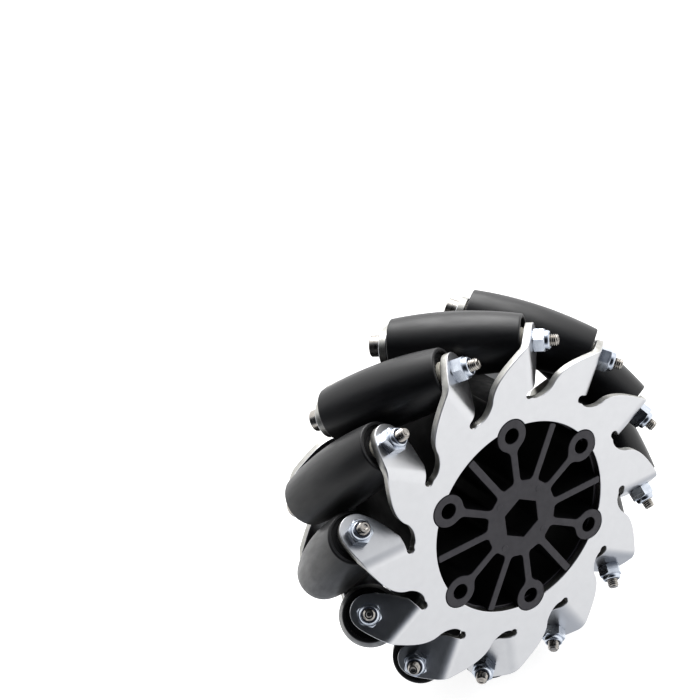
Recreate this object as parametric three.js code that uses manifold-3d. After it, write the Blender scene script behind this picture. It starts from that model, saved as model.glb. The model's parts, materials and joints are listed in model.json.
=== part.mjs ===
// Four-inch mecanum wheel with twelve free-turning rollers, in millimetres.
// The wheel spins about Y through the origin. Its lock-nut side faces -Y, and one roller sits at the top (+Z).
import * as THREE from "three";
import { mergeVertices } from "three/addons/utils/BufferGeometryUtils.js";
import Module from "manifold-3d";

const wasm = await Module();
wasm.setup();

const GAP = 0.3; // left between pieces that touch on the real wheel
const LONG = 60; // cutters reach past every face

// Wheel and rollers
const WHEEL_R = 50.8;
const ROLLERS = 12;
const AXLE_RING_R = 42.75; // wheel centre to a roller's axle
const SKEW = Math.PI / 4; // between a roller's axle and the wheel's
const ROLLER_HALF = 16.5;
const ROLLER_ROWS = 4;
const TREAD_BORE_R = 4.6;
const RECESS_R = 5.4;
const RECESS_DEPTH = 1.0;
const CORE_R = TREAD_BORE_R - GAP;
const BUSHING_R = 3.4;
const AXLE_R = 1.5;
const AXLE_BORE_R = 1.85;

// Side plates, bent from sheet
const FACE_Y = 18.95; // wheel's mid-plane to a plate's outer face
const SHEET = 2.0;
const OPENING_R = 25.7;
const TAB_OUT = 18.95; // roller's middle to a tab's outer face, along the axle
const BEND_R = 3.0; // outside of the bend
const BEND_STEPS = 2;
const BEND_LAP = 0.6; // how far the bent strip runs into the flat
const LEDGE = 0.12; // the strip's edges stand in from the flat's by this much
const TAB_FOOT_Z = 33.45; // height of a tab's lower edge above the wheel's centre
const TAB_TOP_Z = 44.5; // height of an arm's upper edge where the bend starts
const SLOT_R = 1.0; // round end of the slot under a tab

// The top arm's leading edge in (x, z): where it starts, then each curve's handles, and its end where that is fixed
const ARM_START = [-9.3, 30.9];
const ARM_ROOT = [-7.5, 30.7, -5.3, 32.35, -4.35, 34.75];
const ARM_FLANK = [-3.6, 39.35, 0.7, 41.95];

// A tab's outline seen square on, from its hole: x runs along the tab and y outwards
const TAB_END_R = 4.5;
const TAB_END_MIDDLE = [0.6, -0.3];
const TAB_END_FROM = -0.75; // the round end's first and last angle
const TAB_END_TO = Math.PI / 2 + 0.1;
const TAB_UNDERSIDE = [1.0, -6.6, 3.9, -3.3];
const TAB_NECK_X = -5.0;
const TAB_BROW = [-3.4, 3.6];
const TAB_TAIL = 4; // how far the outline runs on past the bend

// Axle screws and lock nuts
const SCREW_LENGTH = 44;
const SCREW_HEAD_R = 2.75;
const SCREW_HEAD_H = 3.0;
const SOCKET_FLATS = 2.5;
const SOCKET_DEPTH = 1.3;
const NUT_FLATS = 5.5;
const NUT_HEX_H = 2.8;
const NUT_H = 4.0;
const NUT_COLLAR_R = 2.55;

// Hub core
const HEX_FLATS = 9.7; // takes a 3/8 inch hexagonal shaft
const HUB_DISC_R = 10.5;
const BOSSES = 6;
const BOSS_RING_R = 23.8; // 1 7/8 inch bolt circle
const BOSS_R = 4.3;
const BOSS_HOLE_R = 2.05;
const SPOKES = 12;
const SPOKE_HALF = 1.0;
const SPIDER_R = OPENING_R - 0.7; // the spokes' free ends inside the front plate's opening
const SPIDER_BACK_Y = FACE_Y - 7.45; // the spokes stop short of the back face
const DRUM_INNER_R = 25.2;
const DRUM_R = 27.4; // the drum's ends hold the plates apart
const DRUM_HALF = FACE_Y - SHEET - GAP;
const POCKET_FILLET = 1.6;

// How many flat sides stand for each round
const SIDES = { tread: 16, core: 10, head: 12, axle: 10, boss: 14, bossHole: 8, drum: 40, disc: 36, opening: 24 };
const HEXAGON = 6;
const OVERLAP = 1; // how far joined solids run into each other

const CORNER_X = TAB_OUT / Math.sin(SKEW) - FACE_Y / Math.tan(SKEW); // where a tab's face would meet the flat's
const BEND_X = CORNER_X - BEND_R * Math.tan(SKEW / 2); // where the flat ends and the bend starts
const BEND_W = (BEND_X - FACE_Y + SHEET) * Math.cos(SKEW); // the same place, measured along the tab from its hole

const MATERIALS = {
  plate: new THREE.MeshStandardMaterial({ color: 0xc9ccd2, roughness: 0.35, metalness: 1 }),
  hub: new THREE.MeshStandardMaterial({ color: 0x2c2a2f, roughness: 0.55, metalness: 0 }),
  tread: new THREE.MeshStandardMaterial({ color: 0x141416, roughness: 0.6, metalness: 0 }),
  core: new THREE.MeshStandardMaterial({ color: 0xb59a63, roughness: 0.4, metalness: 1 }),
  screw: new THREE.MeshStandardMaterial({ color: 0xb9b4ad, roughness: 0.3, metalness: 1 }),
  nut: new THREE.MeshStandardMaterial({ color: 0xaeb6c6, roughness: 0.3, metalness: 1 }),
};

// ---- joining and cutting -------------------------------------------------------------------

function solidOf(geometry) {
  const bare = geometry.clone();
  bare.deleteAttribute("normal");
  bare.deleteAttribute("uv");
  const merged = mergeVertices(bare, 1e-4);
  const mesh = new wasm.Mesh({
    numProp: 3,
    vertProperties: merged.attributes.position.array,
    triVerts: new Uint32Array(merged.index.array),
  });
  return new wasm.Manifold(mesh);
}

function geometryOf(solid) {
  const data = solid.getMesh();
  const geometry = new THREE.BufferGeometry();
  geometry.setAttribute("position", new THREE.BufferAttribute(new Float32Array(data.vertProperties), 3));
  geometry.setIndex(new THREE.BufferAttribute(new Uint32Array(data.triVerts), 1));
  geometry.computeVertexNormals();
  return geometry;
}

// A rod along Y from one height to another, with a corner towards +Z.
function rod(radius, from, to, sides) {
  return new THREE.CylinderGeometry(radius, radius, to - from, sides).translate(0, (from + to) / 2, 0);
}

// A plate whose outline lies in (x, z), filling the heights from..to along Y.
function sheet(shape, from, to, divisions) {
  const options = { depth: to - from, bevelEnabled: false, curveSegments: divisions };
  return new THREE.ExtrudeGeometry(shape, options).rotateX(Math.PI / 2).translate(0, to, 0);
}

function turned(profile, sides) {
  const points = [...profile, profile[0]].map(([radius, y]) => new THREE.Vector2(radius, y));
  return new THREE.LatheGeometry(points, sides);
}

// The same solid at equal angles round the wheel's axis.
function ringOf(geometry, count, phase = 0) {
  const copies = [];
  for (let i = 0; i < count; i++) {
    copies.push(solidOf(geometry.clone().rotateY((2 * Math.PI * (i + phase)) / count)));
  }
  return copies;
}

// ---- rollers, each in its own axle's frame -------------------------------------------------

// Radius of a roller where its outermost line stays on the wheel's outside circle.
function treadRadius(along) {
  return Math.sqrt(WHEEL_R ** 2 - (along * Math.sin(SKEW)) ** 2) - AXLE_RING_R;
}

function rollerTread() {
  const floor = ROLLER_HALF - RECESS_DEPTH;
  const profile = [
    [RECESS_R, ROLLER_HALF],
    [RECESS_R, floor],
    [TREAD_BORE_R, floor],
    [TREAD_BORE_R, -floor],
    [RECESS_R, -floor],
    [RECESS_R, -ROLLER_HALF],
  ];
  for (let i = 0; i <= ROLLER_ROWS; i++) {
    const along = ROLLER_HALF * ((2 * i) / ROLLER_ROWS - 1);
    profile.push([treadRadius(along), along]);
  }
  return turned(profile, SIDES.tread);
}

// The core tube with its two flanged bushings, which space the roller from the tabs.
function rollerCore() {
  const end = TAB_OUT - SHEET - GAP;
  const shoulder = ROLLER_HALF - RECESS_DEPTH;
  const profile = [
    [AXLE_BORE_R, -end],
    [BUSHING_R, -end],
    [BUSHING_R, -shoulder],
    [CORE_R, -shoulder],
    [CORE_R, shoulder],
    [BUSHING_R, shoulder],
    [BUSHING_R, end],
    [AXLE_BORE_R, end],
  ];
  return turned(profile, SIDES.core);
}

// ---- axle screws and lock nuts, in the same frame, with the heads towards +Y ---------------

function axleScrew() {
  const seat = TAB_OUT + GAP;
  const top = seat + SCREW_HEAD_H;
  const head = solidOf(rod(SCREW_HEAD_R, seat, top, SIDES.head));
  const shank = solidOf(rod(AXLE_R, seat - SCREW_LENGTH, seat + OVERLAP, SIDES.axle));
  const socket = solidOf(rod(SOCKET_FLATS / Math.sqrt(3), top - SOCKET_DEPTH, LONG, HEXAGON));
  return geometryOf(head.add(shank).subtract(socket));
}

function lockNut() {
  const seat = -TAB_OUT - GAP;
  const hex = solidOf(rod(NUT_FLATS / Math.sqrt(3), seat - NUT_HEX_H, seat, HEXAGON));
  const collar = solidOf(rod(NUT_COLLAR_R, seat - NUT_H, seat - OVERLAP, SIDES.axle));
  const bore = solidOf(rod(AXLE_R + GAP, -LONG, LONG, SIDES.axle));
  return geometryOf(hex.add(collar).subtract(bore));
}

// ---- side plates ---------------------------------------------------------------------------

// The flat's outline: twelve arms, each followed clockwise by the slot under its tab.
function flatOutline() {
  const arm = new THREE.Path();
  arm.moveTo(...ARM_START);
  arm.bezierCurveTo(...ARM_ROOT);
  arm.bezierCurveTo(...ARM_FLANK, BEND_X - BEND_LAP, TAB_TOP_Z);
  arm.lineTo(BEND_X, TAB_TOP_Z);
  const slot = new THREE.Path();
  slot.absarc(BEND_X, TAB_FOOT_Z - SLOT_R, SLOT_R, Math.PI / 2, Math.PI * 1.5, false);
  const share = [...arm.getPoints(3), ...slot.getPoints(2)];
  const centre = new THREE.Vector2();
  const points = [];
  for (let i = 0; i < ROLLERS; i++) {
    const turn = (-i * 2 * Math.PI) / ROLLERS;
    points.push(...share.map((point) => point.clone().rotateAround(centre, turn)));
  }
  return points;
}

function plateFlat() {
  const shape = new THREE.Shape(flatOutline());
  const opening = new THREE.Path();
  opening.absarc(0, 0, OPENING_R, 0, 2 * Math.PI, false);
  shape.holes.push(opening);
  const notch = rod(BOSS_R + GAP, -LONG, LONG, SIDES.boss).translate(0, 0, BOSS_RING_R);
  let flat = solidOf(sheet(shape, -FACE_Y, SHEET - FACE_Y, SIDES.opening));
  for (const cut of ringOf(notch, BOSSES)) {
    flat = flat.subtract(cut);
  }
  return flat;
}

// The bent strip that the top roller's tab is cut from, drawn in plan and standing on the tab's foot.
function bentStrip() {
  const outer = [[BEND_X - BEND_LAP, -FACE_Y]];
  const inner = [[BEND_X - BEND_LAP, SHEET - FACE_Y]];
  for (let i = 0; i <= BEND_STEPS; i++) {
    const angle = (SKEW * i) / BEND_STEPS;
    for (const [side, radius] of [[outer, BEND_R], [inner, BEND_R - SHEET]]) {
      side.push([BEND_X + radius * Math.sin(angle), BEND_R - FACE_Y - radius * Math.cos(angle)]);
    }
  }
  for (const side of [outer, inner]) {
    const [x, y] = side[side.length - 1];
    side.push([x + LONG * Math.cos(SKEW), y + LONG * Math.sin(SKEW)]);
  }
  const shape = new THREE.Shape([...outer, ...inner.reverse()].map(([x, y]) => new THREE.Vector2(x, y)));
  const foot = TAB_FOOT_Z + LEDGE;
  return new THREE.ExtrudeGeometry(shape, { depth: WHEEL_R - foot, bevelEnabled: false }).translate(0, 0, foot);
}

function tabOutline() {
  const top = TAB_TOP_Z - LEDGE - AXLE_RING_R;
  const foot = TAB_FOOT_Z - OVERLAP - AXLE_RING_R;
  const outline = new THREE.Shape();
  outline.moveTo(BEND_W - TAB_TAIL, foot);
  outline.lineTo(TAB_NECK_X, foot);
  outline.quadraticCurveTo(...TAB_UNDERSIDE);
  outline.absarc(...TAB_END_MIDDLE, TAB_END_R, TAB_END_FROM, TAB_END_TO, false);
  outline.quadraticCurveTo(...TAB_BROW, BEND_W, top);
  outline.lineTo(BEND_W - TAB_TAIL, top);
  return outline;
}

// The top roller's tab with its bend and its axle hole.
function plateTab() {
  const toWheel = (geometry) => geometry.rotateZ(SKEW).translate(0, 0, AXLE_RING_R);
  const outline = toWheel(sheet(tabOutline(), -LONG, 0, 3));
  const hole = toWheel(rod(AXLE_R + GAP, -LONG, 0, SIDES.axle));
  return solidOf(bentStrip()).intersect(solidOf(outline)).subtract(solidOf(hole));
}

function sidePlate() {
  let plate = plateFlat();
  for (const tab of ringOf(geometryOf(plateTab()), ROLLERS)) {
    plate = plate.add(tab);
  }
  return geometryOf(plate);
}

// ---- hub core ------------------------------------------------------------------------------

// One pocket between two spokes, centred on +Z, with round corners at the hub's disc.
function pocketShape() {
  const at = (radius, angle) => [radius * Math.sin(angle), radius * Math.cos(angle)];
  const side = (radius) => Math.PI / SPOKES - Math.asin(SPOKE_HALF / radius);
  const [low, start, high] = [HUB_DISC_R, HUB_DISC_R + POCKET_FILLET, DRUM_INNER_R];
  const lowTurn = side(low) - POCKET_FILLET / low / 2;
  const shape = new THREE.Shape();
  shape.moveTo(...at(low, lowTurn));
  shape.quadraticCurveTo(...at(low, side(low)), ...at(start, side(start)));
  shape.lineTo(...at(high, side(high)));
  shape.absarc(0, 0, high, Math.PI / 2 - side(high), Math.PI / 2 + side(high), false);
  shape.lineTo(...at(start, -side(start)));
  shape.quadraticCurveTo(...at(low, -side(low)), ...at(low, -lowTurn));
  return shape;
}

function hubCore() {
  const boss = rod(BOSS_R, -FACE_Y, FACE_Y, SIDES.boss).translate(0, 0, BOSS_RING_R);
  const bossHole = rod(BOSS_HOLE_R, -LONG, LONG, SIDES.bossHole).translate(0, 0, BOSS_RING_R);
  const pocket = sheet(pocketShape(), -LONG, LONG, 2);
  let hub = solidOf(rod(DRUM_R, -DRUM_HALF, DRUM_HALF, SIDES.drum))
    .add(solidOf(rod(SPIDER_R, -FACE_Y, 0, SIDES.disc)))
    .subtract(solidOf(rod(DRUM_INNER_R, SPIDER_BACK_Y, LONG, SIDES.disc)))
    .subtract(solidOf(rod(HEX_FLATS / Math.sqrt(3), -LONG, LONG, HEXAGON)));
  for (const cut of ringOf(pocket, SPOKES, 0.5)) {
    hub = hub.subtract(cut);
  }
  for (const tube of ringOf(boss, BOSSES)) {
    hub = hub.add(tube);
  }
  for (const cut of ringOf(bossHole, BOSSES)) {
    hub = hub.subtract(cut);
  }
  return geometryOf(hub);
}

// ---- assembly ------------------------------------------------------------------------------

function part(name, geometry, material) {
  const mesh = new THREE.Mesh(geometry, material);
  mesh.name = name;
  return mesh;
}

const wheel = new THREE.Group();
const plate = sidePlate();
const backPlate = part("side_plate_back", plate, MATERIALS.plate);
backPlate.rotation.z = Math.PI;
wheel.add(part("side_plate_front", plate, MATERIALS.plate), backPlate);
wheel.add(part("hub_core", hubCore(), MATERIALS.hub));

const tread = rollerTread();
const core = rollerCore();
const screw = axleScrew();
const nut = lockNut();
for (let i = 0; i < ROLLERS; i++) {
  const number = String(i + 1).padStart(2, "0");
  const axle = new THREE.Group();
  axle.position.z = AXLE_RING_R;
  axle.rotation.z = SKEW;
  axle.add(part("roller_tread_" + number, tread, MATERIALS.tread));
  axle.add(part("roller_core_" + number, core, MATERIALS.core));
  axle.add(part("axle_screw_" + number, screw, MATERIALS.screw));
  axle.add(part("lock_nut_" + number, nut, MATERIALS.nut));
  const station = new THREE.Group();
  station.rotation.y = (i * 2 * Math.PI) / ROLLERS;
  station.add(axle);
  wheel.add(station);
}

export default wheel;
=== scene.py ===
"""Mecanum wheel: the fine surfaces, materials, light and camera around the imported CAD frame.

The wheel spins about Y through the origin, its lock-nut side faces -Y and one roller sits at the top.
The wheel's own lengths are in millimetres, and MM turns them into the frame's metres. Materials, floor,
light and camera are in metres. A face point is (x, z). Angles round the wheel or an axle start at +Z and
run clockwise seen from the lock-nut side.
"""

import json
import math

import bmesh
import bpy
from mathutils import Matrix, Vector


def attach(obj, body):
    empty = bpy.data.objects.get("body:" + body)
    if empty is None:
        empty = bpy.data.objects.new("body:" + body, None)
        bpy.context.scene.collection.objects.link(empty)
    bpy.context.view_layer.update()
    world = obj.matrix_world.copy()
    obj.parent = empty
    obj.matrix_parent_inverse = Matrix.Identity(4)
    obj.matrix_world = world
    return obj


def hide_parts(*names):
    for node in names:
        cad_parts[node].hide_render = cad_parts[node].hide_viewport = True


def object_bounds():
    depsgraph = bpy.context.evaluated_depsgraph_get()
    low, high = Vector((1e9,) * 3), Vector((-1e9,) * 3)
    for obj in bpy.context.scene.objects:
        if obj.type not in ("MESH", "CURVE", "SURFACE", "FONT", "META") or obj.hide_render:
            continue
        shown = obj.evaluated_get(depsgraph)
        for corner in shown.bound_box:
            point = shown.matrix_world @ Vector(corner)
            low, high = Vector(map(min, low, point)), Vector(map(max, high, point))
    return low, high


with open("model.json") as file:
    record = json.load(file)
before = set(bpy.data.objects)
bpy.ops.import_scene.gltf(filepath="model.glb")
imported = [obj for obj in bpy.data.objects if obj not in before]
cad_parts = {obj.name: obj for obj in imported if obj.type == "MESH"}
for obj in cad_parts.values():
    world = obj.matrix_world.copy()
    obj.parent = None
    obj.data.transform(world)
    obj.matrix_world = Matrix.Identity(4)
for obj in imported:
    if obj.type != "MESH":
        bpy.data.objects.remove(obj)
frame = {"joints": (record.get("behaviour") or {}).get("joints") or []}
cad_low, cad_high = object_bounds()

MM = 0.001
JOINTS = frame["joints"]
ROLLERS = len(JOINTS)
STEP = 2 * math.pi / ROLLERS
SKEW = math.pi / 4
WHEEL_R = 50.8
FACE = 18.95  # a plate's outer face, from the wheel's middle
AXLE_RING = Vector(JOINTS[0]["pos_m"]).length / MM

# Side plates
SHEET = 2.0
PLATE_EDGE = 0.22
OPENING_R = 25.7
NOTCH_GAP = 0.12  # between a boss and its notch in the opening
TAB_OUT = 18.95  # a tab's outer face, from the roller's middle along its axle
BEND_R = 4.5  # outside radius
BEND_ROWS = 12
ARM_ROOT = (-9.3, 30.9)  # an arm's back starts here, at the end of the slot before it
ROOT_HANDLES = ((-7.5, 30.7), (-5.3, 32.35))
ARM_WAIST = (-4.35, 34.75)
BACK_HANDLES = ((-3.6, 39.35), (1.65, 42.05))
TAB_TOP_Z = 44.4  # where the bend starts
TAB_RISE = 2.6  # how far a tab's upper edge climbs from there
TAB_EASE = 1.5  # how soon it levels out
TAB_END = (0.6, -0.3, 4.5)  # centre and radius of a tab's round end, from its hole
TAB_END_ARC = (math.pi / 2 - 0.05, -0.72)  # from just past its top to where the tab's side leaves it
TAB_SIDE_HANDLES = ((1.8, -5.6), (0, -6.9))  # from the tab's hole
TAB_FOOT_Z = 33.45
FOOT_CORNER = 4.6  # from the tab's hole back to the rounded corner of its lower edge
FOOT_CURVE = ((1.1, 0.75), (0.5, 0.3), (0, 0), (-0.9, 0))  # round that corner
TAB_HOLE_R = 1.75
TAB_HOLE_SIDES = 20
SPLIT_ABOVE, SPLIT_BELOW = 5, -7  # a tab's face is split in two here, above and below its hole
SLOT_R = 1.0
SLOT_SETBACK = 3.0  # the slot's round end is centred where a bend of this radius would start
SLOT_ARC_END = math.pi * 1.55  # where its round end runs into the next arm's back
NEIGHBOURS = 3  # points borrowed from the arms beside one when its outline is moved in
PLATE_SHARP_DEG = 50

# Rollers
ROLLER_HALF = 16.5
SHOULDER_R = 0.45
TREAD_ROWS = 24
TREAD_SIDES = 72
RECESS_R = 5.7
RECESS_LIP = 0.2
RECESS_DEPTH = 1.0
CORE_R = 4.3
CORE_FREE = 0.9  # between the axle and the core's bore
CORE_SHORT = 0.1  # between the core's end and the bottom of the recess
BUSHING_R = 3.4
BUSHING_FREE = 0.12
BUSHING_INTO = 0.4  # from the bottom of the recess to the bushing's inner end
BUSHING_SHORT = 0.65  # from its flange to the tab, with the washer between them
WASHER_R = 3.2
WASHER_FREE = 0.05
WASHER_THICK = 0.6
WASHER_GAP = 0.02
TUBE_SIDES = 40

# Screws and nuts
AXLE_R = 1.5
SCREW_LENGTH = 44.0
SCREW_SIDES = 48
HEAD_PROFILE = (  # radius and height past the seat, from under the head to its socket's mouth
    (AXLE_R, 0.02), (2.55, 0.02), (2.75, 0.2), (2.75, 2.65), (2.66, 2.88), (2.5, 3.0), (1.62, 3.0),
)
SOCKET_FLATS = 2.5
SOCKET_HEIGHTS = (2.88, 1.5)  # of its mouth and its bottom, past the seat
SHANK_FREE = 0.05  # the plain shank is this much thinner than the axle's radius
THREAD_PITCH = 0.5
THREAD_ROOT_R = 1.26
THREAD_RISE = 0.22
THREAD_START = -22.0  # the thread is modelled from the tip to here, inside the nut
THREAD_ROWS_A_TURN = 8
THREAD_STEEP, THREAD_FLAT = 1.25, 0.1  # steeper than a plain zigzag, with flat roots and crests
THREAD_LEAD = 0.45  # the thread fades out over this much at the tip
TIP_CHAMFER = 0.2
TIP_FACE = ((0.3, 0.1), (0.6, 0.08), (0.72, 0), (0.98, 0))  # radius and depth, from the middle out
NUT_FLATS = 5.5
NUT_HEIGHT = 2.8
NUT_BORE_R = 1.65
NUT_CHAMFER_DEG = 30
NUT_SIDES = 96
NUT_COLLAR = (  # radius and height past the seat, up the outside and down the bore
    (2.52, 2.8), (2.45, 2.86), (2.45, 3.2), (2.41, 3.5), (2.31, 3.76), (2.16, 3.93), (2.02, 4.0),
    (1.92, 3.96), (1.87, 3.8), (NUT_BORE_R, 3.6),
)
INSERT_R = 1.93
INSERT_SPAN = (3.0, 3.9)  # heights past the seat
INSERT_SIDES = 36
FASTENER_TURN = math.radians(23)  # each nut and screw was tightened to its own angle
ROUND_SHARP_DEG = 40
FASTENER_SHARP_DEG = 30

# Hub
BOSS_RING_R = 23.8
BOSS_R = 4.3
BOSS_HOLE_R = 2.05
BOSS_HOLE_SIDES = 24
BOSS_ARC_END = -math.radians(58)  # where a boss turns into its spoke
NECK_CURVE = ((1.55, 0.12), (1.0, -0.4), (1.0, -1.6))  # from the foot of the boss
BOSS_TUBE_EDGE = 0.25
BOSS_TUBE_INTO = 0.6  # how far the tube behind a boss reaches into it
HUB_DISC_R = 10.5
DISC_FILLET = 1.7
FILLET_SPREAD = 0.6  # how far a spoke's root spreads along the disc's rim, in fillets
FILLET_HANDLE = 0.6  # its curve's handle on the spoke, past the rim
FILLET_LEAN = 0.02  # and on the rim, past the spoke, in radians
HEX_FLATS = 9.7
SPOKE_HALF = 1.0
SPOKE_END_R = 25.35
SPOKE_END_CUT = 0.3
SPIDER_BACK = 11.5
DRUM_INNER_R = 25.2
DRUM_R = 27.4
DRUM_EDGE = 0.3
DRUM_SIDES = 96
DRUM_GAP = 0.04  # between the drum's end and the plate
HUB_EDGE = 0.22
EJECTOR_RING_R = 8.6
EJECTOR_R = 0.9
EJECTOR_MARKS = 4
EJECTOR_SIDES = 24
EJECTOR_RISE = 0.05
EJECTOR_ROOT = 1.0  # how far a mark's foot reaches into the disc
WALL_TILT = 0.3  # faces whose normals lean less than this towards Y are the hub's walls, which get the nylon painted darker as shade
HUB_SHARP_DEG = 38

# Where the outer faces of plate and tab would meet, where the bend and the slot start, where the bend
# ends from the tab's hole, and where that hole lies on the flat pattern
CORNER_X = TAB_OUT / math.sin(SKEW) - FACE / math.tan(SKEW)
BEND_X = CORNER_X - BEND_R * math.tan(SKEW / 2)
SLOT_X = CORNER_X - SLOT_SETBACK * math.tan(SKEW / 2)
BEND_LENGTH = BEND_R * SKEW
TAB_START_W = TAB_OUT / math.tan(SKEW) - FACE / math.sin(SKEW) + BEND_R * math.tan(SKEW / 2)
TAB_SHIFT = BEND_X + BEND_LENGTH - TAB_START_W


# ---- mesh helpers ------------------------------------------------------------------------------

def make_object(name, vertices, faces, material, sharp_deg):
    """A smooth-shaded object from vertices in millimetres, with its faces turned outwards."""
    mesh = bpy.data.meshes.new(name)
    mesh.from_pydata([tuple(c * MM for c in v) for v in vertices], [], faces)
    tidy = bmesh.new()
    tidy.from_mesh(mesh)
    bmesh.ops.remove_doubles(tidy, verts=tidy.verts, dist=1e-7)
    bmesh.ops.recalc_face_normals(tidy, faces=tidy.faces)
    tidy.to_mesh(mesh)
    tidy.free()
    for polygon in mesh.polygons:
        polygon.use_smooth = True
    mesh.set_sharp_from_angle(angle=math.radians(sharp_deg))
    mesh.materials.append(material)
    return place(name, mesh, Matrix.Identity(4))


def flatten_faces(obj):
    """Let wide faces keep their own normals, so that only the rounded edges shade as round."""
    weighted = obj.modifiers.new("flat_faces", "WEIGHTED_NORMAL")
    weighted.keep_sharp = True
    weighted.weight = 100


def place(name, mesh, matrix):
    """A new object that shows a mesh at a matrix."""
    obj = bpy.data.objects.new(name, mesh)
    bpy.context.scene.collection.objects.link(obj)
    obj.matrix_world = matrix
    return obj


def skin(loops, closed=False):
    """Vertices and faces between equal loops of points, with the ends capped, or joined if closed."""
    count = len(loops[0])
    vertices = [point for loop in loops for point in loop]
    faces = []
    rows = len(loops) if closed else len(loops) - 1
    for row in range(rows):
        here, there = row * count, (row + 1) % len(loops) * count
        for i in range(count):
            j = (i + 1) % count
            faces.append((here + i, here + j, there + j, there + i))
    if not closed:
        faces.append(tuple(range(count)))
        faces.append(tuple(range((len(loops) - 1) * count, len(loops) * count)))
    return vertices, faces


def join(*parts):
    """Several (vertices, faces) pairs as one."""
    vertices, faces = [], []
    for part_vertices, part_faces in parts:
        base = len(vertices)
        vertices += part_vertices
        faces += [tuple(base + i for i in face) for face in part_faces]
    return vertices, faces


def ring(radius, y, count):
    """A loop of points round Y. radius and y are numbers or functions of the angle from +Z."""
    points = []
    for i in range(count):
        angle = 2 * math.pi * i / count
        r = radius(angle) if callable(radius) else radius
        height = y(angle) if callable(y) else y
        points.append((r * math.sin(angle), height, r * math.cos(angle)))
    return points


def lathe(profile, count):
    """A closed (radius, y) profile turned about Y."""
    return skin([ring(radius, y, count) for radius, y in profile], closed=True)


def hexagon(flats):
    """Radius of a hexagon with a corner at +Z, as a function of the angle."""
    def radius(angle):
        off = (angle + math.pi / 6) % (math.pi / 3) - math.pi / 6
        return flats / 2 / math.cos(math.pi / 6 - abs(off))
    return radius


def polar(radius, angle):
    """The face point at a radius and an angle."""
    return radius * math.sin(angle), radius * math.cos(angle)


def circle(radius, count):
    """Evenly spaced face points on a circle, clockwise from the top."""
    return [polar(radius, 2 * math.pi * i / count) for i in range(count)]


def bezier(a, b, c, d, count):
    """Points along a cubic curve, leaving out its end."""
    points = []
    for i in range(count):
        t = i / count
        k = ((1 - t) ** 3, 3 * t * (1 - t) ** 2, 3 * t * t * (1 - t), t ** 3)
        points.append(tuple(sum(w * p[j] for w, p in zip(k, (a, b, c, d))) for j in (0, 1)))
    return points


def arc(cx, cy, radius, start, end, count):
    """Points along an arc, both ends included. Its angles run from +X towards +Z."""
    angles = [start + (end - start) * i / (count - 1) for i in range(count)]
    return [(cx + radius * math.cos(a), cy + radius * math.sin(a)) for a in angles]


def turn(point, angle):
    """A face point turned clockwise, seen from the lock-nut side."""
    x, z = point
    return x * math.cos(angle) + z * math.sin(angle), -x * math.sin(angle) + z * math.cos(angle)


def around(point, angle):
    """A point in space turned in the same way about Y."""
    x, z = turn((point[0], point[2]), angle)
    return x, point[1], z


def spread(shape, radius, angles):
    """Copies of a (vertices, faces) shape about Y, moved out to a radius and turned to each angle."""
    vertices, faces = shape
    lifted = [(x, y, z + radius) for x, y, z in vertices]
    return [([around(point, angle) for point in lifted], faces) for angle in angles]


def inset(loop, distance):
    """A clockwise loop moved to its right by distance, with mitred corners."""
    least_dot = 0.5  # keeps the mitre of a sharp corner short
    moved = []
    count = len(loop)
    for i in range(count):
        back = Vector(loop[i]) - Vector(loop[i - 1])
        ahead = Vector(loop[(i + 1) % count]) - Vector(loop[i])
        normals = [Vector((v.y, -v.x)).normalized() for v in (back, ahead)]
        middle = (normals[0] + normals[1]).normalized()
        reach = distance / max(middle.dot(normals[0]), least_dot)
        moved.append((loop[i][0] + middle.x * reach, loop[i][1] + middle.y * reach))
    return moved


def edge_rows(edge, thickness):
    """(inset, depth) of each row down a side whose two edges are rounded."""
    turns = (0, math.pi / 4, math.pi / 2)
    top = [(edge * (1 - math.sin(a)), edge * (1 - math.cos(a))) for a in turns]
    return top + [(side, thickness - depth) for side, depth in reversed(top)]


def row_walls(loops, bases):
    """Faces down the rows of every (start, length) loop, and the numbers of those in the middle row."""
    middle = len(bases) // 2 - 1
    faces, in_middle = [], set()
    for start, length in loops:
        for row, (lower, upper) in enumerate(zip(bases, bases[1:])):
            if row == middle:
                in_middle.update(range(len(faces), len(faces) + length))
            for i in range(length):
                a, b = start + i, start + (i + 1) % length
                faces.append((lower + a, lower + b, upper + b, upper + a))
    return faces, in_middle


# ---- procedural materials ------------------------------------------------------------------------

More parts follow.
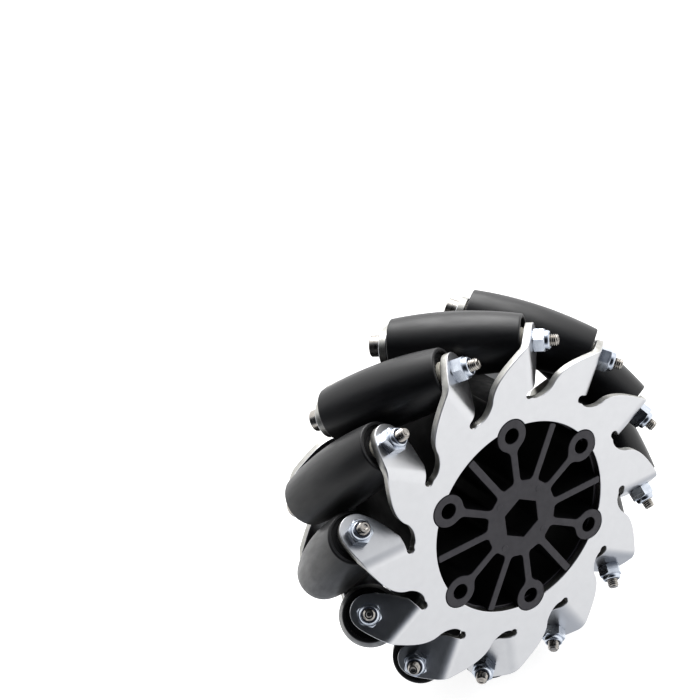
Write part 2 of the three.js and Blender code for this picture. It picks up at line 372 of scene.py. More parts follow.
class Nodes:
    """A material and short ways to add nodes to it. Textures read object coordinates."""

    def __init__(self, name, color, roughness, metallic=0.0):
        self.material = bpy.data.materials.new(name)
        self.material.use_nodes = True
        self.tree = self.material.node_tree
        self.shader = self.tree.nodes["Principled BSDF"]
        self.shader.inputs["Base Color"].default_value = (*color, 1)
        self.shader.inputs["Roughness"].default_value = roughness
        self.shader.inputs["Metallic"].default_value = metallic
        self.place = self.tree.nodes.new("ShaderNodeTexCoord").outputs["Object"]

    def link(self, a, b):
        self.tree.links.new(a, b)

    def stretched(self, scale):
        """Object coordinates multiplied by a scale for each axis, so a texture on them is drawn out."""
        mapping = self.tree.nodes.new("ShaderNodeMapping")
        mapping.inputs["Scale"].default_value = scale
        self.link(self.place, mapping.inputs["Vector"])
        return mapping.outputs["Vector"]

    def noise(self, scale, detail=3, where=None):
        node = self.tree.nodes.new("ShaderNodeTexNoise")
        node.inputs["Scale"].default_value = scale
        node.inputs["Detail"].default_value = detail
        self.link(where or self.place, node.inputs["Vector"])
        return node.outputs["Fac"]

    def remap(self, value, low, high, start=0.3, end=0.7):
        """A value in start..end brought to low..high. The defaults are where a noise mostly lies."""
        node = self.tree.nodes.new("ShaderNodeMapRange")
        node.inputs["From Min"].default_value = start
        node.inputs["From Max"].default_value = end
        node.inputs["To Min"].default_value = low
        node.inputs["To Max"].default_value = high
        self.link(value, node.inputs["Value"])
        return node.outputs["Result"]

    def tint(self, value, dark, light):
        """Base colour between two colours."""
        node = self.tree.nodes.new("ShaderNodeMix")
        node.data_type = "RGBA"
        node.inputs["A"].default_value = (*dark, 1)
        node.inputs["B"].default_value = (*light, 1)
        self.link(value, node.inputs["Factor"])
        self.link(node.outputs["Result"], self.shader.inputs["Base Color"])

    def rough(self, value, low, high):
        self.link(self.remap(value, low, high), self.shader.inputs["Roughness"])

    def bump(self, value, strength, distance):
        node = self.tree.nodes.new("ShaderNodeBump")
        node.inputs["Strength"].default_value = strength
        node.inputs["Distance"].default_value = distance
        self.link(value, node.inputs["Height"])
        self.link(node.outputs["Normal"], self.shader.inputs["Normal"])


def zinc_sheet():
    """Bright zinc plate on rolled sheet: faint blotches, fine rolling lines and a slight blue cast."""
    m = Nodes("zinc_sheet", color=(0.8, 0.81, 0.83), roughness=0.3, metallic=1.0)
    grain = m.noise(scale=380, detail=4)
    m.tint(m.remap(grain, low=0, high=1), dark=(0.60, 0.605, 0.62), light=(0.62, 0.625, 0.64))
    m.rough(m.noise(scale=900), low=0.31, high=0.36)
    rolled = m.noise(scale=900, detail=2, where=m.stretched((0.06, 1, 1)))
    m.bump(rolled, strength=0.12, distance=0.00004)
    return m.material


def sheared_edge():
    """The sheet's cut edges: duller and warmer than its faces, with fine lines through the thickness."""
    m = Nodes("sheared_edge", color=(0.5, 0.49, 0.46), roughness=0.45, metallic=1.0)
    blotches = m.remap(m.noise(scale=700), low=0, high=1)
    m.tint(blotches, dark=(0.40, 0.395, 0.375), light=(0.50, 0.495, 0.47))
    sheared = m.noise(scale=1400, detail=2, where=m.stretched((1, 0.08, 1)))
    m.bump(sheared, strength=0.25, distance=0.00006)
    return m.material


def hub_nylon():
    """Moulded black nylon with a fine spark texture."""
    m = Nodes("hub_nylon", color=(0.03, 0.028, 0.033), roughness=0.48)
    haze = m.remap(m.noise(scale=240), low=0, high=1)
    m.tint(haze, dark=(0.046, 0.043, 0.051), light=(0.056, 0.053, 0.062))
    m.rough(m.noise(scale=700, detail=2), low=0.42, high=0.56)
    m.bump(m.noise(scale=5200, detail=2), strength=0.25, distance=0.00003)
    return m.material


def moulded_wall():
    """The hub's walls: the same nylon, smoother, with its colour painted near black as shade in the pockets
    and along the sides.
    """
    m = Nodes("moulded_wall", color=(0.005, 0.005, 0.006), roughness=0.55)
    m.rough(m.noise(scale=500, detail=2), low=0.5, high=0.65)
    m.shader.inputs["Specular IOR Level"].default_value = 0.25
    return m.material


def tread_rubber():
    """Smooth black rubber with moulding haze and faint scuffs round the roller."""
    m = Nodes("tread_rubber", color=(0.02, 0.02, 0.022), roughness=0.4)
    haze = m.remap(m.noise(scale=180, detail=4), low=0, high=1)
    m.tint(haze, dark=(0.004, 0.004, 0.005), light=(0.007, 0.007, 0.008))
    scuffs = m.noise(scale=600, where=m.stretched((1, 0.25, 1)))
    m.rough(scuffs, low=0.34, high=0.46)
    m.bump(m.noise(scale=4200), strength=0.22, distance=0.00004)
    m.shader.inputs["Sheen Weight"].default_value = 0.12
    m.shader.inputs["Sheen Roughness"].default_value = 0.4
    return m.material


def core_plastic():
    """The rollers' dull black cores."""
    m = Nodes("core_plastic", color=(0.012, 0.012, 0.013), roughness=0.6)
    m.rough(m.noise(scale=900, detail=2), low=0.5, high=0.7)
    m.bump(m.noise(scale=4000, detail=2), strength=0.2, distance=0.00003)
    return m.material


def turned_metal(name, dark, light, smooth, rough):
    """Turned or rolled metal: fine rings round the axle and a little uneven polish."""
    m = Nodes(name, color=light, roughness=smooth, metallic=1.0)
    m.tint(m.remap(m.noise(scale=500), low=0, high=1), dark, light)
    polish = m.noise(scale=1500, detail=2, where=m.stretched((0.1, 1, 0.1)))
    m.rough(polish, low=smooth, high=rough)
    rings = m.noise(scale=3500, detail=1, where=m.stretched((0.04, 1, 0.04)))
    m.bump(rings, strength=0.15, distance=0.00002)
    return m.material


def bushing_nylon():
    """Cream plastic bushings, as they show in the gap between a roller and its tab."""
    m = Nodes("bushing_nylon", color=(0.78, 0.75, 0.66), roughness=0.35)
    blotches = m.remap(m.noise(scale=600), low=0, high=1)
    m.tint(blotches, dark=(0.70, 0.67, 0.58), light=(0.82, 0.79, 0.70))
    m.rough(m.noise(scale=1500, detail=2), low=0.3, high=0.42)
    return m.material


def nylon_insert():
    """The dark blue-black insert in each lock nut."""
    m = Nodes("nylon_insert", color=(0.05, 0.06, 0.09), roughness=0.4)
    m.rough(m.noise(scale=1500, detail=2), low=0.35, high=0.5)
    return m.material


ZINC = zinc_sheet()
CUT_EDGE = sheared_edge()
NYLON = hub_nylon()
NYLON_PAINTED_SHADE = moulded_wall()
RUBBER = tread_rubber()
CORE = core_plastic()
STEEL = turned_metal(
    "stainless", dark=(0.34, 0.32, 0.30), light=(0.46, 0.44, 0.41), smooth=0.2, rough=0.34)
NUT_ZINC = turned_metal(
    "nut_zinc", dark=(0.50, 0.54, 0.61), light=(0.66, 0.70, 0.76), smooth=0.24, rough=0.34)
BUSHING = bushing_nylon()
INSERT = nylon_insert()


# ---- side plates -----------------------------------------------------------------------------------

def tab_top(u):
    """Height of a tab's upper edge at a distance u past the start of the bend."""
    s = min(max(u / (TAB_SHIFT - BEND_X + TAB_END[0]), 0), 1)
    return TAB_TOP_Z + TAB_RISE * (1 - (1 - s) ** TAB_EASE)


def tab_foot(u):
    """Height of a tab's lower edge: it leaves the slot's round end and then runs level."""
    short = max(SLOT_X - BEND_X - u, 0)
    return TAB_FOOT_Z - SLOT_R + math.sqrt(SLOT_R ** 2 - short ** 2)


def arm_back():
    """The arm's back, from the slot before it to the start of the bend."""
    points = bezier(ARM_ROOT, *ROOT_HANDLES, ARM_WAIST, count=9)
    return points + bezier(ARM_WAIST, *BACK_HANDLES, (BEND_X, TAB_TOP_Z), count=16)


def tab_outline():
    """A tab's outline from the end of the bend, round its hole and back to its level lower edge."""
    top_steps = 9
    cx, cz, end_r = TAB_SHIFT + TAB_END[0], AXLE_RING + TAB_END[1], TAB_END[2]
    rise = [BEND_LENGTH + (cx - BEND_X - BEND_LENGTH) * i / top_steps for i in range(1, top_steps)]
    points = [(BEND_X + u, tab_top(u)) for u in rise]
    points += arc(cx, cz, end_r, *TAB_END_ARC, count=15)
    side_handles = [(TAB_SHIFT + x, AXLE_RING + z) for x, z in TAB_SIDE_HANDLES]
    foot_curve = [(TAB_SHIFT - FOOT_CORNER + x, TAB_FOOT_Z + z) for x, z in FOOT_CURVE]
    points += bezier(points[-1], *side_handles, foot_curve[0], count=9)[1:]
    return points + bezier(*foot_curve, count=5)


def opening_share(has_boss):
    """The plate's inner edge along one arm's share, clockwise, with a notch for a boss at its middle."""
    start = math.atan2(*ARM_ROOT)
    if not has_boss:
        steps = 12
        return [polar(OPENING_R, start + STEP * i / steps) for i in range(steps)]
    notch_r = BOSS_R + NOTCH_GAP
    across = (OPENING_R ** 2 + BOSS_RING_R ** 2 - notch_r ** 2) / (2 * OPENING_R * BOSS_RING_R)
    corner = math.acos(across)
    before, after = 4, 3
    points = [polar(OPENING_R, start + (-corner - start) * i / before) for i in range(before)]
    side = math.atan2(OPENING_R * math.cos(corner) - BOSS_RING_R, OPENING_R * math.sin(corner))
    points += arc(0, BOSS_RING_R, notch_r, math.pi - side, side, count=17)
    left = start + STEP - corner
    return points + [polar(OPENING_R, corner + left * i / after) for i in range(1, after)]


def bent(point, depth, on_tab):
    """A point of the flat pattern, at a depth below the outer face, where the bend takes it."""
    x, z = point
    if not on_tab:
        return x, depth - FACE, z
    along = max(x - BEND_X, 0)
    angle = min(along / BEND_LENGTH, 1) * SKEW
    past = max(along - BEND_LENGTH, 0)
    radius = BEND_R - depth
    y = BEND_R - FACE - radius * math.cos(angle) + past * math.sin(angle)
    return BEND_X + radius * math.sin(angle) + past * math.cos(angle), y, z


class Pattern:
    """The flat pattern's clockwise loops: one arm's share of the outline, its tab's hole and the opening.

    Every row of the plate's mesh holds the twelve shares, then the twelve holes, then the opening. In a
    share, the bend's upper edge starts at top, and its lower edge runs back from foot to foot_end.
    """

    def __init__(self):
        self.share = arm_back()
        self.top = len(self.share)
        bends = [BEND_LENGTH * i / BEND_ROWS for i in range(BEND_ROWS + 1)]
        self.share += [(BEND_X + u, tab_top(u)) for u in bends]
        self.share += tab_outline()
        self.foot = len(self.share)
        self.foot_end = self.foot + BEND_ROWS
        self.share += [(BEND_X + u, tab_foot(u)) for u in reversed(bends)]
        slot_start = math.pi - math.acos((SLOT_X - BEND_X) / SLOT_R)
        self.share += arc(SLOT_X, TAB_FOOT_Z - SLOT_R, SLOT_R, slot_start, SLOT_ARC_END, count=11)[1:]
        self.hole = [(x + TAB_SHIFT, z + AXLE_RING) for x, z in circle(TAB_HOLE_R, TAB_HOLE_SIDES)]
        self.opening = [opening_share(i % 2 == 0) for i in range(ROLLERS)]
        self.holes_at = len(self.share) * ROLLERS
        self.opening_at = self.holes_at + len(self.hole) * ROLLERS
        self.opening_size = sum(len(part) for part in self.opening)

    def loops(self):
        """(start, length) of every loop in a row."""
        size = len(self.hole)
        holes = [(self.holes_at + size * i, size) for i in range(ROLLERS)]
        return [(0, self.holes_at)] + holes + [(self.opening_at, self.opening_size)]

    def closest(self, height, start, end):
        """The outline's point nearest to a height above or below the tab's hole."""
        target = (TAB_SHIFT, AXLE_RING + height)
        return min(range(start, end), key=lambda k: math.dist(self.share[k], target))


def plate_row(pattern, side, depth):
    """The vertices of one row, with its edges moved in by side and lying at a depth."""
    share = pattern.share
    before = [turn(point, -STEP) for point in share[-NEIGHBOURS:]]
    after = [turn(point, STEP) for point in share[:NEIGHBOURS]]
    edge = inset(before + share + after, side)[NEIGHBOURS:-NEIGHBOURS]
    arm = [bent(p, depth, pattern.top < k < pattern.foot_end) for k, p in enumerate(edge)]
    tab_hole = [bent(p, depth, True) for p in inset(pattern.hole, -side)]
    vertices = []
    for corners in (arm, tab_hole):
        for i in range(ROLLERS):
            vertices += [around(point, STEP * i) for point in corners]
    opening = [turn(point, STEP * i) for i, part in enumerate(pattern.opening) for point in part]
    return vertices + [(x, depth - FACE, z) for x, z in inset(opening, -side)]


def flat_face(pattern, base, i):
    """An arm's share of the plate's flat face, between its outline and the opening."""
    size = len(pattern.share)
    outline = list(range(pattern.top + 1)) + list(range(pattern.foot_end, size))
    passed = sum(len(part) for part in pattern.opening[:i])
    opening = [(passed + k) % pattern.opening_size for k in range(len(pattern.opening[i]) + 1)]
    following = base + size * ((i + 1) % ROLLERS)
    face = [base + size * i + k for k in outline] + [following]
    return tuple(face + [base + pattern.opening_at + k for k in reversed(opening)])


def tab_faces(pattern, base, i):
    """A tab's bend in strips, and its face in two halves round the hole."""
    size, sides = len(pattern.share), len(pattern.hole)
    o, h = base + size * i, base + pattern.holes_at + sides * i
    faces = []
    for k in range(BEND_ROWS):
        near, far = o + pattern.top + k, o + pattern.foot_end - k
        faces.append((near, near + 1, far - 1, far))
    tab_start = pattern.top + BEND_ROWS
    above = pattern.closest(SPLIT_ABOVE, tab_start, pattern.foot)
    below = pattern.closest(SPLIT_BELOW, above + 1, pattern.foot)
    half = sides // 2
    right = [o + k for k in range(above, below + 1)] + [h + k for k in range(half, -1, -1)]
    left = [o + k for k in range(below, pattern.foot + 1)] + [o + k for k in range(tab_start, above + 1)]
    left += [h] + [h + k for k in range(sides - 1, half - 1, -1)]
    return faces + [tuple(right), tuple(left)]


def side_plate(name, matrix, slot_node):
    """A plate with its twelve bent tabs, made as the lock-nut side's and then put in place."""
    pattern = Pattern()
    vertices, bases = [], []
    for side, depth in edge_rows(PLATE_EDGE, SHEET):
        bases.append(len(vertices))
        vertices += plate_row(pattern, side, depth)
    faces, cut = row_walls(pattern.loops(), bases)
    for base in (bases[0], bases[-1]):
        for i in range(ROLLERS):
            faces.append(flat_face(pattern, base, i))
            faces += tab_faces(pattern, base, i)
    plate = make_object(name, vertices, faces, ZINC, PLATE_SHARP_DEG)
    plate.data.materials.append(CUT_EDGE)
    for polygon in plate.data.polygons:
        polygon.material_index = int(polygon.index in cut)
    plate.data.transform(matrix)
    flatten_faces(plate)
    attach(plate, "wheel")
    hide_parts(slot_node)


# ---- hub ---------------------------------------------------------------------------------------------

def star_half():
    """A twelfth of the hub's spider, clockwise from a boss's top to the middle of the next plain spoke."""
    boss = arc(0, BOSS_RING_R, BOSS_R, math.pi / 2, BOSS_ARC_END, count=20)
    neck = [(x, BOSS_RING_R - BOSS_R + z) for x, z in NECK_CURVE]
    points = boss + bezier(boss[-1], *neck, count=6)[1:]
    disc_steps = 5
    low = math.asin(SPOKE_HALF / HUB_DISC_R)
    turned_in = DISC_FILLET / HUB_DISC_R * FILLET_SPREAD
    disc_start, disc_end = low + turned_in, STEP - low - turned_in
    root, handle = (SPOKE_HALF, HUB_DISC_R + DISC_FILLET), (SPOKE_HALF, HUB_DISC_R + FILLET_HANDLE)
    leaning = polar(HUB_DISC_R, low + FILLET_LEAN)
    points += bezier(root, handle, leaning, polar(HUB_DISC_R, disc_start), count=6)
    span = disc_end - disc_start
    points += [polar(HUB_DISC_R, disc_start + span * i / disc_steps) for i in range(disc_steps + 1)]
    next_root, next_handle = [turn((-x, z), STEP) for x, z in (root, handle)]
    leaning = polar(HUB_DISC_R, STEP - low - FILLET_LEAN)
    points += bezier(polar(HUB_DISC_R, disc_end), leaning, next_handle, next_root, count=6)[1:]
    tip = [
        (-SPOKE_HALF, SPOKE_END_R - SPOKE_END_CUT),
        (-SPOKE_HALF + SPOKE_END_CUT, SPOKE_END_R),
        (0, SPOKE_END_R),
    ]
    return points + [next_root] + [turn(point, STEP) for point in tip]


def spider():
    """The hub's disc, spokes and bosses as one rounded prism, with its bore and boss holes."""
    half = star_half()
    mirrored = [(-x, z) for x, z in half[::-1]]
    boss_count = ROLLERS // 2
    share = mirrored + half[1:-1]
    span = 2 * STEP
    outer = [turn(p, span * i) for i in range(boss_count) for p in share]
    bore_share = [turn((0, HEX_FLATS / 2), -STEP), (0, HEX_FLATS / math.sqrt(3))]
    bore = [turn(p, span * i) for i in range(boss_count) for p in bore_share]
    hole = [(x, z + BOSS_RING_R) for x, z in circle(BOSS_HOLE_R, BOSS_HOLE_SIDES)]
    holes = [[turn(p, span * i) for p in hole] for i in range(boss_count)]
    loops = [(outer, 1), (bore, -1)] + [(h, -1) for h in holes]
    vertices, bases = [], []
    for side, depth in edge_rows(HUB_EDGE, FACE + SPIDER_BACK):
        bases.append(len(vertices))
        for loop, sign in loops:
            vertices += [(x, depth - FACE, z) for x, z in inset(loop, side * sign)]
    sizes = [len(loop) for loop, _ in loops]
    faces, _ = row_walls([(sum(sizes[:k]), size) for k, size in enumerate(sizes)], bases)
    for base in (bases[0], bases[-1]):
        for i in range(boss_count):
            faces += boss_faces(base, i, share, outer, bore, len(half) - 1)
    return vertices, faces


def boss_faces(base, i, share, outer, bore, middle):
    """The spider's face from the bore out to one boss, in two halves round the boss's hole."""
    hole_at = base + len(outer) + len(bore) + BOSS_HOLE_SIDES * i
    edge = [base + (len(share) * i + k) % len(outer) for k in range(len(share) + 1)]
    flat, tip, following = [base + len(outer) + (2 * i + k) % len(bore) for k in range(3)]
    half = BOSS_HOLE_SIDES // 2
    right_hole = [hole_at + k for k in range(half, -1, -1)]
    left_hole = [hole_at] + [hole_at + k for k in range(BOSS_HOLE_SIDES - 1, half - 1, -1)]
    right = tuple([tip] + right_hole + edge[middle:] + [following])
    left = tuple([flat] + edge[:middle + 1] + left_hole + [tip])
    return right, left


def rounded_tube(inner, outer, low, high, edge):
    """A closed profile for a tube about Y with its four edges rounded."""
    steps = 3
    profile = []
    corners = ((outer, high, 0), (outer, low, 1), (inner, low, 2), (inner, high, 3))
    for radius, y, quarter in corners:
        for i in range(steps + 1):
            angle = math.pi / 2 * (1 - quarter - i / steps)
            cx = radius - edge if radius == outer else radius + edge
            cy = y - edge if y == high else y + edge
            profile.append((cx + edge * math.cos(angle), cy + edge * math.sin(angle)))
    return profile


def hub():
    """The hub as one moulding: spider, drum, the tubes behind the bosses and four ejector marks."""
    drum_end = FACE - SHEET - DRUM_GAP
    drum = rounded_tube(DRUM_INNER_R, DRUM_R, -drum_end, drum_end, DRUM_EDGE)
    tube_r = BOSS_R - 0.02  # a little inside the boss, so the two surfaces don't meet
    tube = rounded_tube(BOSS_HOLE_R, tube_r, SPIDER_BACK - BOSS_TUBE_INTO, FACE, BOSS_TUBE_EDGE)
    mark_rows = (
        (EJECTOR_R - EJECTOR_RISE, -FACE - EJECTOR_RISE),
        (EJECTOR_R, -FACE),
        (EJECTOR_R, EJECTOR_ROOT - FACE),
    )
    mark = skin([ring(radius, y, EJECTOR_SIDES) for radius, y in mark_rows])
    parts = [spider(), lathe(drum, DRUM_SIDES)]
    parts += spread(lathe(tube, TUBE_SIDES), BOSS_RING_R, [2 * STEP * i for i in range(ROLLERS // 2)])
    mark_angles = [2 * math.pi / EJECTOR_MARKS * (i + 0.5) for i in range(EJECTOR_MARKS)]
    parts += spread(mark, EJECTOR_RING_R, mark_angles)
    piece = make_object("hub_moulding", *join(*parts), NYLON, HUB_SHARP_DEG)
    # faces turned away from Y take the wall material, whose near-black colour is painted shade
    piece.data.materials.append(NYLON_PAINTED_SHADE)
    for polygon in piece.data.polygons:
        polygon.material_index = int(abs(polygon.normal.y) < WALL_TILT)
    flatten_faces(piece)
    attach(piece, "wheel")
    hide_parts("hub_core")


# ---- rollers and their axles ---------------------------------------------------------------------------

def tread_radius(s):
    """The tread's radius at a distance from its middle, where its outermost line is the wheel's circle."""
    return math.sqrt(WHEEL_R ** 2 - (s * math.sin(SKEW)) ** 2) - AXLE_RING


def tread_mesh():
    """The barrel tread, with its shoulders rounded and each end recessed."""
    reach = ROLLER_HALF - SHOULDER_R
    places = [reach * (1 - 2 * i / TREAD_ROWS) for i in range(TREAD_ROWS + 1)]
    profile = [(tread_radius(s), s) for s in places]
    shoulder = [math.pi / 8 * i for i in range(1, 5)]
    end_r = tread_radius(reach) - SHOULDER_R
    end = [(end_r + SHOULDER_R * math.cos(a), -reach - SHOULDER_R * math.sin(a)) for a in shoulder]
    end += [(RECESS_R + RECESS_LIP, -ROLLER_HALF), (RECESS_R, RECESS_LIP - ROLLER_HALF)]
    core_hole_r = CORE_R + 0.05
    end += [(RECESS_R, RECESS_DEPTH - ROLLER_HALF), (core_hole_r, RECESS_DEPTH - ROLLER_HALF)]
    profile += end
    profile += [(r, -s) for r, s in reversed(end)]
    return lathe(profile, TREAD_SIDES)


def core_mesh():
    """The core tube, which stops just short of the recesses in the tread's ends."""
    end = ROLLER_HALF - RECESS_DEPTH - CORE_SHORT
    return lathe(rounded_tube(AXLE_R + CORE_FREE, CORE_R, -end, end, edge=0.2), TUBE_SIDES)


def bushing_mesh():
    """A flanged bushing and a washer at each end of the core."""
    tab_inside = TAB_OUT - SHEET
    start, end = ROLLER_HALF - RECESS_DEPTH - BUSHING_INTO, tab_inside - BUSHING_SHORT
    washer_end = tab_inside - WASHER_GAP
    washer_start = washer_end - WASHER_THICK
    flange = rounded_tube(AXLE_R + BUSHING_FREE, BUSHING_R, start, end, edge=0.12)
    washer = rounded_tube(AXLE_R + WASHER_FREE, WASHER_R, washer_start, washer_end, edge=0.08)
    flange, washer = lathe(flange, TUBE_SIDES), lathe(washer, TUBE_SIDES)
    mirrored = [([(x, -y, z) for x, y, z in v], f) for v, f in (flange, washer)]
    return join(flange, washer, *mirrored)


def screw_mesh():
    """A socket head cap screw, with a real thread on the end that shows past the nut."""
    head = [ring(r, TAB_OUT + y, SCREW_SIDES) for r, y in HEAD_PROFILE]
    head += [ring(hexagon(SOCKET_FLATS), TAB_OUT + y, SCREW_SIDES) for y in SOCKET_HEIGHTS]
    tip = TAB_OUT - SCREW_LENGTH
    loops = [ring(r, tip + sunk, SCREW_SIDES) for r, sunk in TIP_FACE]
    rows = int((THREAD_START - tip) / THREAD_PITCH * THREAD_ROWS_A_TURN)
    for row in range(rows + 1):
        y = tip + (THREAD_START - tip) * row / rows
        loops.append(ring(thread_radius(y, min((y - tip) / THREAD_LEAD, 1)), y, SCREW_SIDES))
    shank_start, shank_end = THREAD_START + 0.1, TAB_OUT + 1  # it ends inside the head
    loops += [ring(AXLE_R - SHANK_FREE, y, SCREW_SIDES) for y in (shank_start, shank_end)]
    return join(skin(head), skin(loops))


def thread_radius(y, share):
    """The thread's radius at a height, as a function of the angle. Its share is below 1 near the tip."""
    def radius(angle):
        root = THREAD_ROOT_R - TIP_CHAMFER * (1 - share)
        return root + THREAD_RISE * share * thread(y / THREAD_PITCH - angle / 2 / math.pi)
    return radius


def thread(phase):
    """A thread's height at a phase in turns, from 0 in the root to 1 on the crest."""
    zigzag = 1 - abs(2 * (phase % 1) - 1)
    return min(max(zigzag * THREAD_STEEP - THREAD_FLAT, 0), 1)


def nut_mesh():
    """A lock nut with chamfered corners and a domed collar crimped over its nylon insert."""
    seat, inscribed = -TAB_OUT, NUT_FLATS / 2
    skim = 0.02  # keeps the chamfer's edge off the seat in the middle of each flat
    slope = math.tan(math.radians(NUT_CHAMFER_DEG))
    corner = hexagon(NUT_FLATS)

    def chamfer(angle):
        return (corner(angle) - inscribed) * slope

    rows = [
        ring(NUT_BORE_R, seat, NUT_SIDES),
        ring(inscribed, seat, NUT_SIDES),
        ring(corner, lambda a: seat - chamfer(a) - skim, NUT_SIDES),
        ring(corner, lambda a: seat - NUT_HEIGHT + chamfer(a) + skim, NUT_SIDES),
        ring(inscribed, seat - NUT_HEIGHT, NUT_SIDES),
    ]
    rows += [ring(r, seat - y, NUT_SIDES) for r, y in NUT_COLLAR]
    return skin(rows, closed=True)


def insert_mesh():
    """The nylon ring held in the nut's collar."""
    near, far = INSERT_SPAN
    grip_r = AXLE_R - 0.02
    profile = rounded_tube(grip_r, INSERT_R, -TAB_OUT - far, -TAB_OUT - near, edge=0.12)
    return lathe(profile, INSERT_SIDES)


def axle_frame(joint):
    """The frame of one axle: Y towards the screw head, Z away from the wheel's centre."""
    along, out = Vector(joint["axis"]).normalized(), Vector(joint["pos_m"]).normalized()
    rotation = Matrix((along.cross(out), along, out)).transposed()
    return Matrix.Translation(joint["pos_m"]) @ rotation.to_4x4()


def stations():
    """The roller, screw and nut at every axle. Each kind's mesh is made once and shared."""
    kinds = {  # mesh, material, slot, start of the CAD node's name, sharp angle
        "tread": (tread_mesh(), RUBBER, "tread", "roller_tread_", ROUND_SHARP_DEG),
        "core": (core_mesh(), CORE, "core", "roller_core_", ROUND_SHARP_DEG),
        "bushings": (bushing_mesh(), BUSHING, "screw", None, ROUND_SHARP_DEG),
        "cap_screw": (screw_mesh(), STEEL, "screw", "axle_screw_", FASTENER_SHARP_DEG),
        "nyloc_nut": (nut_mesh(), NUT_ZINC, "nut", "lock_nut_", FASTENER_SHARP_DEG),
        "nut_insert": (insert_mesh(), INSERT, "nut", None, FASTENER_SHARP_DEG),
    }
    turning = ("tread", "core", "bushings")
    for kind, (shape, material, slot, node, sharp_deg) in kinds.items():
        first = make_object(kind + "_01", *shape, material, sharp_deg)
        for i, joint in enumerate(JOINTS):
            number = joint["name"][-2:]
            piece = first if i == 0 else place(kind + "_" + number, first.data, Matrix.Identity(4))
            tightened = 0 if kind in turning else FASTENER_TURN * i
            piece.matrix_world = axle_frame(joint) @ Matrix.Rotation(tightened, 4, "Y")
            flatten_faces(piece)
            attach(piece, joint["child"] if kind in turning else "wheel")
            if node:
                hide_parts(node + number)


# ---- stage, light and camera -----------------------------------------------------------------------------

def floor():
    """A plain pale floor just under the wheel, lit by itself so that it fades into the white background."""
    half, gap = 1.5, 0.0002  # metres
    mesh = bpy.data.meshes.new("floor")
    corners = [(-half, -half), (half, -half), (half, half), (-half, half)]
    mesh.from_pydata([(x, y, cad_low.z - gap) for x, y in corners], [], [(0, 1, 2, 3)])
    m = Nodes("floor", color=(0.4, 0.4, 0.4), roughness=0.7)
    m.shader.inputs["Emission Color"].default_value = (1, 1, 1, 1)
    seen = m.tree.nodes.new("ShaderNodeLightPath").outputs["Is Camera Ray"]
    glow = m.remap(seen, low=0.15, high=0.75, start=0, end=1)
    m.link(glow, m.shader.inputs["Emission Strength"])
    mesh.materials.append(m.material)
    sheet = place("floor", mesh, Matrix.Identity(4))
    sheet.visible_glossy = False


def softbox(name, azimuth, elevation, distance, size, power):
    """An area light aimed at the wheel from a direction given as the camera's are."""
    light = bpy.data.lights.new(name, "AREA")
    light.shape = "RECTANGLE"
    light.size, light.size_y = size
    light.energy = power
    lamp = bpy.data.objects.new(name, light)
    bpy.context.scene.collection.objects.link(lamp)
    back = direction(azimuth, elevation)
    lamp.location = back * distance
    lamp.rotation_euler = (-back).to_track_quat("-Z", "Y").to_euler()


def direction(azimuth, elevation):
    """From the wheel outwards: azimuth 0 is the lock-nut side, and elevation is above the horizon."""
    a, e = math.radians(azimuth), math.radians(elevation)
    return Vector((math.sin(a) * math.cos(e), -math.cos(a) * math.cos(e), math.sin(e)))


def ramp(nodes, links, value, start, end, low, high):
    """A value smoothly remapped from start..end to low..high."""
    node = nodes.new("ShaderNodeMapRange")
    node.interpolation_type = "SMOOTHSTEP"
    node.inputs["From Min"].default_value = start
    node.inputs["From Max"].default_value = end
    node.inputs["To Min"].default_value = low
    node.inputs["To Max"].default_value = high
    links.new(value, node.inputs["Value"])
    return node.outputs["Result"]


def combine(nodes, links, operation, a, b):
    """Two values put together by a Math node's operation."""
    node = nodes.new("ShaderNodeMath")
    node.operation = operation
    links.new(a, node.inputs[0])
    links.new(b, node.inputs[1])
    return node.outputs["Value"]


DARK_LOBES = (  # azimuth, elevation, cosines where the dark starts and is full, and the strength left
    (-30, 24, 0.42, 0.92, 0.01),
    (-84, 14, 0.70, 0.93, 0.04),
)


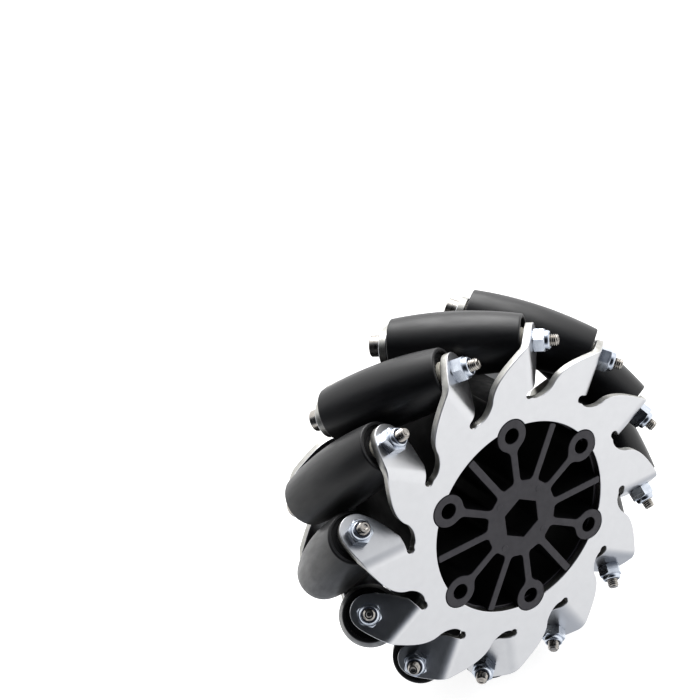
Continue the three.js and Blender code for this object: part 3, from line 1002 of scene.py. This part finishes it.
def room_strength(nodes, links):
    """The world's strength in a direction: duller towards the ground, and nearly none in each dark lobe."""
    toward = nodes.new("ShaderNodeTexCoord").outputs["Generated"]
    height = nodes.new("ShaderNodeSeparateXYZ")
    links.new(toward, height.inputs["Vector"])
    strength = ramp(nodes, links, height.outputs["Z"], start=-1.0, end=-0.42, low=0.6, high=1.2)
    for azimuth, elevation, start, end, dark in DARK_LOBES:
        facing = nodes.new("ShaderNodeVectorMath")
        facing.operation = "DOT_PRODUCT"
        facing.inputs[1].default_value = direction(azimuth, elevation)
        links.new(toward, facing.inputs[0])
        shade = ramp(nodes, links, facing.outputs["Value"], start, end, 1.0, dark)
        strength = combine(nodes, links, "MULTIPLY", strength, shade)
    return strength


def studio():
    """A white sweep, seen as white, but reflected with a dark room by the camera and a duller ground."""
    world = bpy.data.worlds.new("studio")
    bpy.context.scene.world = world
    world.use_nodes = True
    nodes, links = world.node_tree.nodes, world.node_tree.links
    strength = room_strength(nodes, links)
    seen = nodes.new("ShaderNodeLightPath").outputs["Is Camera Ray"]
    strength = combine(nodes, links, "MAXIMUM", strength, seen)
    links.new(strength, nodes["Background"].inputs["Strength"])
    cast = nodes.new("ShaderNodeMix")
    cast.data_type = "RGBA"
    cool, white = (0.72, 0.82, 1.0, 1), (1, 1, 1, 1)
    cast.inputs["A"].default_value = cool
    cast.inputs["B"].default_value = white
    links.new(strength, cast.inputs["Factor"])
    links.new(cast.outputs["Result"], nodes["Background"].inputs["Color"])
    softbox("key", azimuth=150, elevation=65, distance=0.6, size=(0.5, 0.5), power=3.5)
    bpy.context.scene.view_settings.view_transform = "Standard"
    bpy.context.scene.view_settings.look = "Medium High Contrast"


def camera():
    """The photograph's view: rolled a little, with the wheel low and to the right in the picture."""
    azimuth, elevation, roll = -27.15, 25.79, 9.93
    distance, right_of_middle, below_middle = 0.34274, 0.03308, 0.03626
    back = direction(azimuth, elevation)
    level_right = Vector((0, 0, 1)).cross(back).normalized()
    level_up = back.cross(level_right)
    r = math.radians(roll)
    up = level_up * math.cos(r) + level_right * math.sin(r)
    right = up.cross(back)
    data = bpy.data.cameras.new("camera")
    data.lens, data.sensor_width = 67.5, 36  # both in mm on the sensor
    data.clip_start, data.clip_end = 0.01, 10
    cam = bpy.data.objects.new("camera", data)
    bpy.context.scene.collection.objects.link(cam)
    place_at = back * distance - right * right_of_middle + up * below_middle
    cam.matrix_world = Matrix.Translation(place_at) @ Matrix((right, up, back)).transposed().to_4x4()
    bpy.context.scene.camera = cam


side_plate("front_plate_sheet", Matrix.Identity(4), "side_plate_front")
side_plate("back_plate_sheet", Matrix.Rotation(math.pi, 4, "Z"), "side_plate_back")
hub()
stations()
floor()
studio()
camera()
